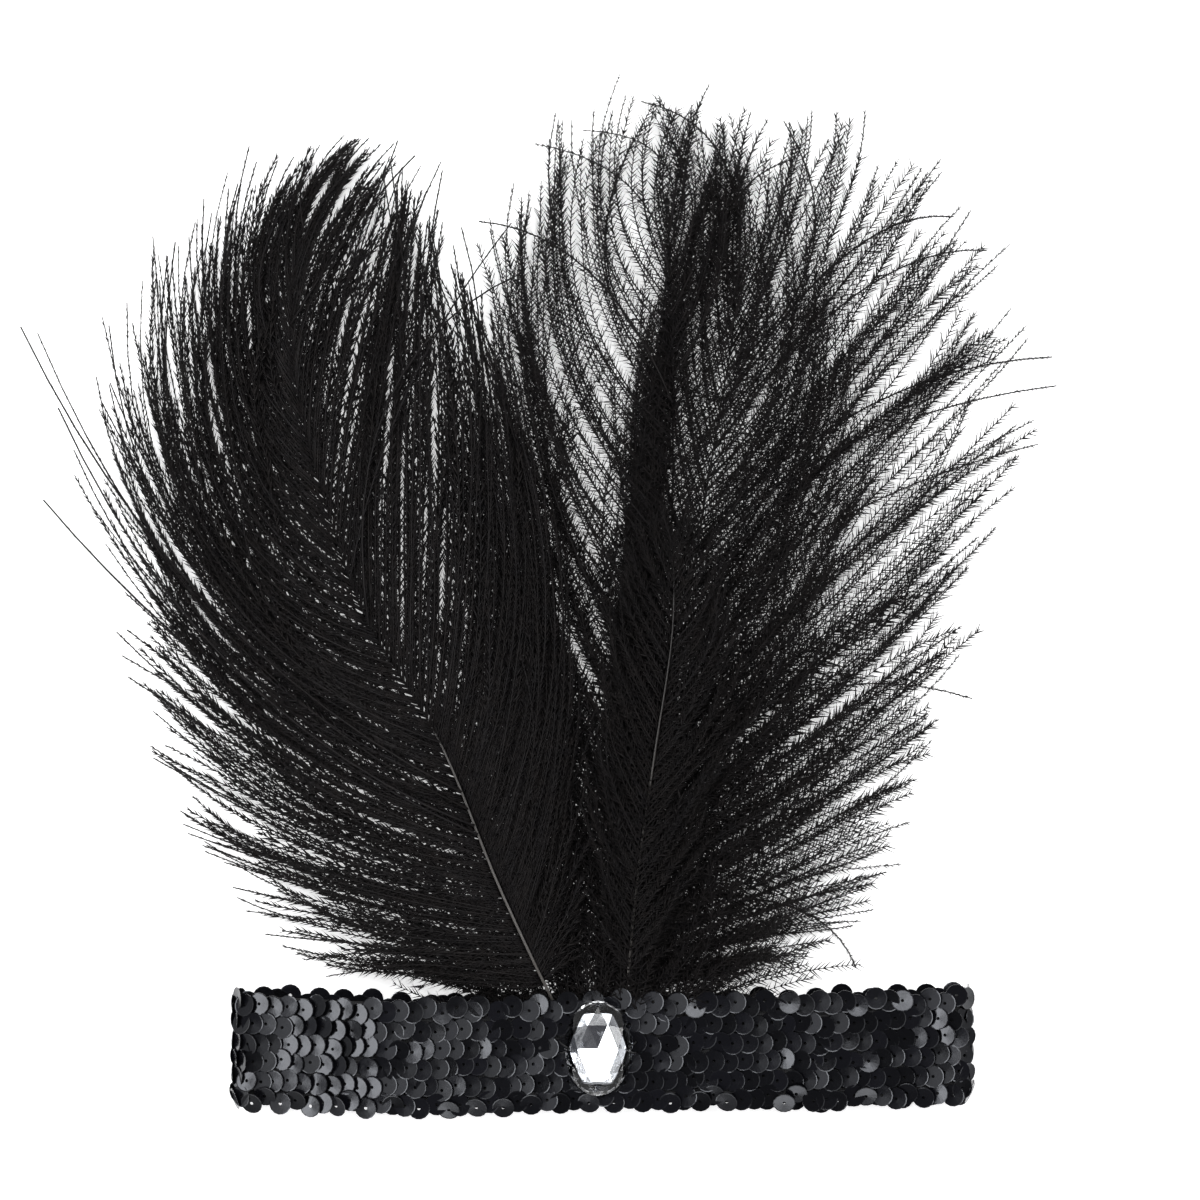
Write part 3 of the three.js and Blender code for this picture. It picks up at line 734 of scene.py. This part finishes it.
loop = dict(                 # millimetres, as the solids have them
    length=200, width=29.4, depth=12, straight=188, radius=6,
    fabricInset=1.5, fabricWall=1.1, fabricHalf=13.5, fabricColumns=240, fabricRows=9,
    ruffle=0.18, ruffles=54,
)
bandDrift = readCurve([      # at a share of half the loop: how far the band strays and how far the back slipped
    (-1, -0.014, 0.02), (-0.5, -0.085, 0.015), (0, -0.037, 0), (0.6, -0.01, -0.03), (1, 0.041, -0.02),
])
lap = 2 * loop["straight"] + 2 * math.pi * loop["radius"]


def onLoop(way, across, depth):   # a place on the loop: millimetres along it, across it and in from its face
    way = np.asarray(way, float) % lap
    straight, fold = loop["straight"], math.pi * loop["radius"]
    turn = np.where(way < straight, 0, np.clip((way - straight) / loop["radius"], 0, math.pi))
    turn = turn + np.clip((way - 2 * straight - fold) / loop["radius"], 0, math.pi)
    centre = np.select(
        [way < straight, way < straight + fold, way < 2 * straight + fold],
        [way - straight / 2, straight / 2 + 0 * way, straight / 2 - (way - straight - fold)],
        -straight / 2)
    out = loop["radius"] - depth
    x, z = centre + np.sin(turn) * out, loop["radius"] + np.cos(turn) * out
    stray = bandDrift(x / (loop["length"] / 2))
    y = across + loop["width"] * (stray[..., 0] + stray[..., 1] * (1 - z / loop["depth"]))
    return np.stack([x, y, z], -1), turn


def makeElastic(finishes):
    clearSelection()
    bpy.ops.mesh.primitive_cylinder_add(vertices=loop["fabricColumns"], radius=1, depth=2,
                                        end_fill_type="NOTHING")
    elastic = bpy.context.object
    elastic.name = "stretch_band_fabric"
    bpy.ops.object.mode_set(mode="EDIT")
    for height in np.linspace(-1, 1, loop["fabricRows"] + 1)[1:-1]:
        bpy.ops.mesh.select_all(action="SELECT")
        bpy.ops.mesh.bisect(plane_co=(0, 0, height), plane_no=(0, 0, 1))
    bpy.ops.object.mode_set(mode="OBJECT")
    mesh = elastic.data
    points = np.array([v.co for v in mesh.vertices])
    share = (np.arctan2(points[:, 1], points[:, 0]) / (2 * math.pi)) % 1
    middle = loop["fabricInset"] + loop["fabricWall"] / 2
    ruffle = loop["ruffle"] * np.sin(share * 2 * math.pi * loop["ruffles"]) * np.abs(points[:, 2]) ** 3
    placed, _ = onLoop(share * lap, points[:, 2] * loop["fabricHalf"], middle + ruffle)
    mesh.vertices.foreach_set("co", (placed * mm).astype(np.float32).ravel())
    cloth = mesh.uv_layers.new(name="cloth")
    for polygon in mesh.polygons:
        shares = [share[mesh.loops[i].vertex_index] for i in polygon.loop_indices]
        past = max(shares) - min(shares) > 0.5
        for i, value in zip(polygon.loop_indices, shares):
            value = value + 1 if past and value < 0.5 else value
            side = points[mesh.loops[i].vertex_index, 2]
            cloth.data[i].uv = (value * lap * mm, side * loop["fabricHalf"] * mm)
    mesh.update()
    selectAlone(elastic)
    bpy.ops.object.mode_set(mode="EDIT")
    bpy.ops.mesh.select_all(action="SELECT")
    bpy.ops.mesh.normals_make_consistent(inside=False)
    bpy.ops.object.mode_set(mode="OBJECT")
    wall = elastic.modifiers.new("wall", "SOLIDIFY")
    wall.thickness, wall.offset = loop["fabricWall"] * mm, 0
    bpy.ops.object.modifier_apply(modifier="wall")
    bpy.ops.object.shade_smooth()
    elastic.data.materials.append(finishes["elastic"])
    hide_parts("stretch_band")
    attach(elastic, "root")
    print("elastic ready")


def makeElasticFinish():
    finish = Finish("ribbedElastic", Roughness=0.9)
    cloth = finish.node("ShaderNodeUVMap", {"uv_map": "cloth"})
    ribs = finish.node("ShaderNodeTexWave", {"wave_type": "BANDS", "bands_direction": "Y"},
                       {"Vector": cloth, "Scale": 420, "Distortion": 0.4, "Detail": 1})
    yarn = finish.node("ShaderNodeTexWave", {"wave_type": "BANDS", "bands_direction": "X"},
                       {"Vector": cloth, "Scale": 560, "Distortion": 0.6, "Detail": 1})
    weave = ribs * 0.7 + yarn * 0.3
    finish.onShader("Base Color", finish.blend(weave, (0.006, 0.006, 0.007, 1), (0.03, 0.03, 0.033, 1)))
    finish.bump(weave, 0.6, 0.0003)
    return finish.material


sequin = dict(               # millimetres and degrees
    radius=3.0, rim=0.24, rimDrop=0.05, hole=0.5, dish=0.1, thickness=0.14, corners=15,
    pitch=3.76, rows=(-12.6, -7.6, -2.5, 2.5, 7.6, 12.6), edgeOut=0.8, edgeZigzag=(1, -0.6),
    seed=5, strayAlong=0.4, strayAcross=0.45, sunk=0.35,
    lean=5, leanSpread=4.4, leastLean=1, columnSpread=3.2, rollSpread=5.5,
    pressedSunk=0.55, pressedLean=3.2, pressedRoll=0.4,      # the back layer, flat on the floor
    edgeRoll=5, flipped=0.3, flippedRoll=-30, flippedSpread=(0.6, 1.1), floorGap=0.05,
    litPatches=[(-74, 13, 14), (93, 8, 13)],     # where more of them lean into the light: x, width, degrees
)


def modelSequin():           # a flat disc with a sewing hole and a thin raised rim
    clearSelection()
    bpy.ops.mesh.primitive_circle_add(vertices=sequin["corners"], radius=sequin["radius"], fill_type="NGON")
    disc = bpy.context.object
    bpy.ops.object.mode_set(mode="EDIT")
    bpy.ops.mesh.select_mode(type="FACE")
    bpy.ops.mesh.select_all(action="SELECT")
    bpy.ops.mesh.inset(thickness=sequin["rim"], depth=0)
    bpy.ops.transform.translate(value=(0, 0, -sequin["rimDrop"]))
    bpy.ops.mesh.inset(thickness=sequin["radius"] - sequin["rim"] - sequin["hole"], depth=0)
    bpy.ops.transform.translate(value=(0, 0, -sequin["dish"]))
    bpy.ops.mesh.delete(type="FACE")
    bpy.ops.object.mode_set(mode="OBJECT")
    wall = disc.modifiers.new("wall", "SOLIDIFY")
    wall.thickness, wall.offset = sequin["thickness"], -1
    bpy.ops.object.modifier_apply(modifier="wall")
    return takeShape(disc)


def atEdge(row):
    return row in (0, len(sequin["rows"]) - 1)


def tiltSequins(row, side, spots, random):   # how each disc of a row leans along the band and rolls across it
    count = len(spots)
    pressed = spots[:, 2] < loop["depth"] / 4
    knots = np.arange(0, count, 2)
    wave = np.interp(np.arange(count), knots, random.normal(0, 1, len(knots)))
    lean = sequin["lean"] + sequin["columnSpread"] * wave + random.normal(0, sequin["leanSpread"], count)
    for x, width, more in sequin["litPatches"]:
        lean = lean + more * np.exp(-((spots[:, 0] - x) / width) ** 2)
    flatLean = sequin["pressedLean"] * random.uniform(0.4, 1, count)
    lean = np.where(pressed, flatLean, np.maximum(lean, sequin["leastLean"]))
    roll = np.where(pressed, sequin["pressedRoll"], 1) * random.normal(0, sequin["rollSpread"], count)
    if atEdge(row):
        flip = (random.uniform(0, 1, count) < sequin["flipped"]) & ~pressed & (side < 0)
        flipped = sequin["flippedRoll"] * random.uniform(*sequin["flippedSpread"], count)
        roll = np.where(flip, flipped, roll + sequin["edgeRoll"] * side)
    return np.radians(lean), np.radians(roll), np.where(pressed, sequin["pressedSunk"], sequin["sunk"])


def placeSequin(points, spot, angle, lean, roll, depth):   # one disc on the loop, tilted about its middle
    along = np.array([math.cos(angle), 0, -math.sin(angle)])
    outward = np.array([math.sin(angle), 0, math.cos(angle)])
    first = along * math.cos(lean) + outward * math.sin(lean)
    over = outward * math.cos(lean) - along * math.sin(lean)
    second = np.array([0.0, 1.0, 0.0]) * math.cos(roll) - over * math.sin(roll)
    placed = (spot - outward * depth + points[:, :1] * first + points[:, 1:2] * second
              + points[:, 2:] * np.cross(first, second))
    placed[:, 2] += max(0, sequin["floorGap"] - placed[:, 2].min())
    return placed


def makeSequins(finishes):
    random = np.random.default_rng(sequin["seed"])
    points, faces = modelSequin()
    columns = round(lap / sequin["pitch"] / 2) * 2
    made = []
    for row, across in enumerate(sequin["rows"]):
        side = np.sign(across)
        way = (np.arange(columns) + 0.5 * (row % 2)) * lap / columns
        way = way + random.normal(0, sequin["strayAlong"], columns)
        across = across + random.normal(0, sequin["strayAcross"], columns)
        if atEdge(row):
            zigzag = np.where(np.arange(columns) % 2 == 0, *sequin["edgeZigzag"])
            across = across + zigzag * sequin["edgeOut"] * side
        spots, turn = onLoop(way, across, 0.0)
        for place in zip(spots, turn, *tiltSequins(row, side, spots, random)):
            spun = np.concatenate([turned(points[:, :2], random.uniform(0, 360)), points[:, 2:]], 1)
            made.append(placeSequin(spun, *place))
    sets = copiedFaces(faces, len(made), len(points))
    piece = makePiece("sequin_cover_discs", np.concatenate(made), sets, [finishes["sequin"]], smooth=False)
    setTints(piece, np.repeat(random.uniform(0, 1, len(made)), len(points)))
    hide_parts("sequin_cover")
    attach(piece, "root")
    print(len(made), "sequins")


def makeSequinFinish():
    finish = Finish("blackSequin", Specular_IOR_Level=0.55, Specular_Tint=(0.9, 0.93, 1, 1))
    scuff = finish.noise(finish.spot(), 900, 3)
    black = finish.blend(finish.tint(), (0.002, 0.002, 0.0024, 1), (0.0055, 0.0055, 0.0075, 1))
    finish.onShader("Base Color", black)
    finish.onShader("Roughness", 0.12 + scuff * 0.12)
    finish.bump(scuff, 0.1, 0.0001)
    return finish.material


stone = dict(                # millimetres; place is the middle of its back
    width=18, height=25.6, depth=5.6, place=(-1.1, 0.712, 12.3), rim=1.3, hole=1.0, drillCorners=16,
    rings=[                  # corners, turn in corners, share of the half sizes, share of the depth
        (24, 0, 0.9, 0), (24, 0, 1, 0.16), (24, 0, 1, 0.3), (6, 0, 0.88, 0.64), (6, 0.5, 0.6, 1),
    ],
    foil=[(6, 0.5, 0.82, 0.38), (1, 0, 0, 0.07)],
    foilWall=0.1,
)
stitch = dict(               # millimetres, from the sewing hole up over the edge and down beside the stone
    width=0.34, steps=14, beside=1.1, slants=[(0.28, 1.5), (-0.28, -1.4)],
    start=(0, 0.2), over=(0.3, 4.6), down=(0, 3.4), end=(0.1, -0.9),     # outwards, up
)


def ringPoints(corners, turn, radius, depth):
    angles = (np.arange(corners) + turn) / corners * 2 * math.pi + math.pi / 2
    return np.stack([np.cos(angles) * radius * stone["width"] / 2, np.sin(angles) * radius * stone["height"] / 2,
                     np.full(corners, depth * stone["depth"])], -1)


def modelGem(name, rings):   # rings of corners, closed by flat facets
    clearSelection()
    bpy.ops.mesh.primitive_circle_add(vertices=rings[0][0], radius=1)
    gem = bpy.context.object
    gem.name = name
    bpy.ops.object.mode_set(mode="EDIT")
    for corners, *_ in rings[1:]:
        bpy.ops.mesh.primitive_circle_add(vertices=max(corners, 3), radius=1)
    bpy.ops.object.mode_set(mode="OBJECT")
    places = np.concatenate([ringPoints(max(c, 3), turn, radius, depth) for c, turn, radius, depth in rings])
    gem.data.vertices.foreach_set("co", (places * mm).astype(np.float32).ravel())
    bpy.ops.object.mode_set(mode="EDIT")
    bpy.ops.mesh.select_all(action="SELECT")
    bpy.ops.mesh.remove_doubles(threshold=0.00001)
    bpy.ops.mesh.select_all(action="SELECT")
    bpy.ops.mesh.convex_hull(join_triangles=False)
    bpy.ops.mesh.select_all(action="SELECT")
    bpy.ops.mesh.normals_make_consistent(inside=False)
    bpy.ops.object.mode_set(mode="OBJECT")
    return gem


def placeGem(gem):
    selectAlone(gem)
    gem.location = Vector(stone["place"]) * mm
    bpy.ops.object.transform_apply(location=True, rotation=True, scale=True)


def openDish(foil):          # the foil is a thin dish of six facets, open to the front
    selectAlone(foil)
    bpy.ops.object.mode_set(mode="EDIT")
    bpy.ops.mesh.select_mode(type="FACE")
    bpy.ops.mesh.select_all(action="DESELECT")
    shell = bmesh.from_edit_mesh(foil.data)
    for face in shell.faces:
        face.select_set(face.normal.z > 0.9)
    bmesh.update_edit_mesh(foil.data)
    bpy.ops.mesh.delete(type="FACE")
    bpy.ops.object.mode_set(mode="OBJECT")
    wall = foil.modifiers.new("wall", "SOLIDIFY")
    wall.thickness, wall.offset = stone["foilWall"] * mm, 0
    bpy.ops.object.modifier_apply(modifier="wall")


def makeStitches(shapes, finishes):    # the thread goes up through each hole and over the rim, twice
    paths = []
    x, y, z = stone["place"]
    t = np.linspace(0, 1, stitch["steps"] + 1)[:, None]
    for side in (-1, 1):
        hole = x + side * (stone["width"] / 2 - stone["rim"])
        edge = x + side * (stone["width"] / 2 + stitch["beside"])
        for inner, outer in stitch["slants"]:
            knots = [(hole, inner, stitch["start"]), (hole, inner, stitch["over"]),
                     (edge, outer, stitch["down"]), (edge, outer, stitch["end"])]
            ends = np.array([[place + side * out, y + slant, z + up] for place, slant, (out, up) in knots])
            paths.append(((1 - t) ** 3) * ends[0] + 3 * t * (1 - t) ** 2 * ends[1]
                         + 3 * t ** 2 * (1 - t) * ends[2] + t ** 3 * ends[3])
    points, sets = bentCopies(shapes["thread"], np.array(paths), np.full(len(paths), stitch["width"]))
    piece = makePiece("centre_stone_thread", points, sets, [finishes["thread"]])
    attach(piece, "root")


def makeThreadFinish():
    finish = Finish("sewingThread", Roughness=0.7)
    twist = finish.noise(finish.spot(), 2500)
    finish.onShader("Base Color", finish.blend(twist, (0.008, 0.008, 0.009, 1), (0.03, 0.03, 0.032, 1)))
    finish.bump(twist, 0.4, 0.0001)
    return finish.material


def makeStone(finishes):
    gem = modelGem("centre_stone_body", stone["rings"])
    for side in (-1, 1):
        clearSelection()
        place = (side * (stone["width"] / 2 - stone["rim"]) * mm, 0, 0)
        bpy.ops.mesh.primitive_cylinder_add(vertices=stone["drillCorners"], radius=stone["hole"] / 2 * mm,
                                            depth=0.03, location=place)
        drill = bpy.context.object
        selectAlone(gem)
        cut = gem.modifiers.new("cut", "BOOLEAN")
        cut.operation, cut.solver, cut.object = "DIFFERENCE", "EXACT", drill
        bpy.ops.object.modifier_apply(modifier="cut")
        bpy.data.objects.remove(drill)
    foil = modelGem("centre_stone_foil", stone["foil"])
    openDish(foil)
    for piece, finish in ((gem, "gem"), (foil, "foil")):
        placeGem(piece)
        piece.data.materials.append(finishes[finish])
        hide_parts("centre_stone")
        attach(piece, "root")
    print("stone ready")


def makeGemFinish():
    return Finish("clearAcrylic", Base_Color=(0.97, 0.98, 1, 1), Roughness=0.03, IOR=1.5,
                  Transmission_Weight=1).material


def makeFoilFinish():
    finish = Finish("silverFoil", Metallic=1, Roughness=0.1)
    ripple = finish.noise(finish.spot(), 300)
    finish.onShader("Base Color", finish.blend(ripple, (0.78, 0.8, 0.83, 1), (0.93, 0.94, 0.95, 1)))
    finish.bump(ripple, 0.15, 0.0003)
    return finish.material


makeCamera()
makeLights()
makeFloor()
print("studio ready")

finishes = dict(
    barbs=makeBarbFinish(), quill=makeQuillFinish(), elastic=makeElasticFinish(), sequin=makeSequinFinish(),
    gem=makeGemFinish(), foil=makeFoilFinish(), thread=makeThreadFinish(),
)
shapes = dict(
    spine=modelRod(3, 0.5, barb["steps"]), hair=modelRod(3, 0, 1),
    quill=modelRod(quill["sides"], quill["tip"], quill["steps"]), thread=modelRod(8, 1, stitch["steps"]),
)
makeElastic(finishes)
makeSequins(finishes)
makeStone(finishes)
makeStitches(shapes, finishes)
for plume in (rightPlume, middlePlume, leftPlume, shortPlume):
    makePlume(plume, shapes, finishes)
makeDown(shapes, finishes)
print("plumes ready")
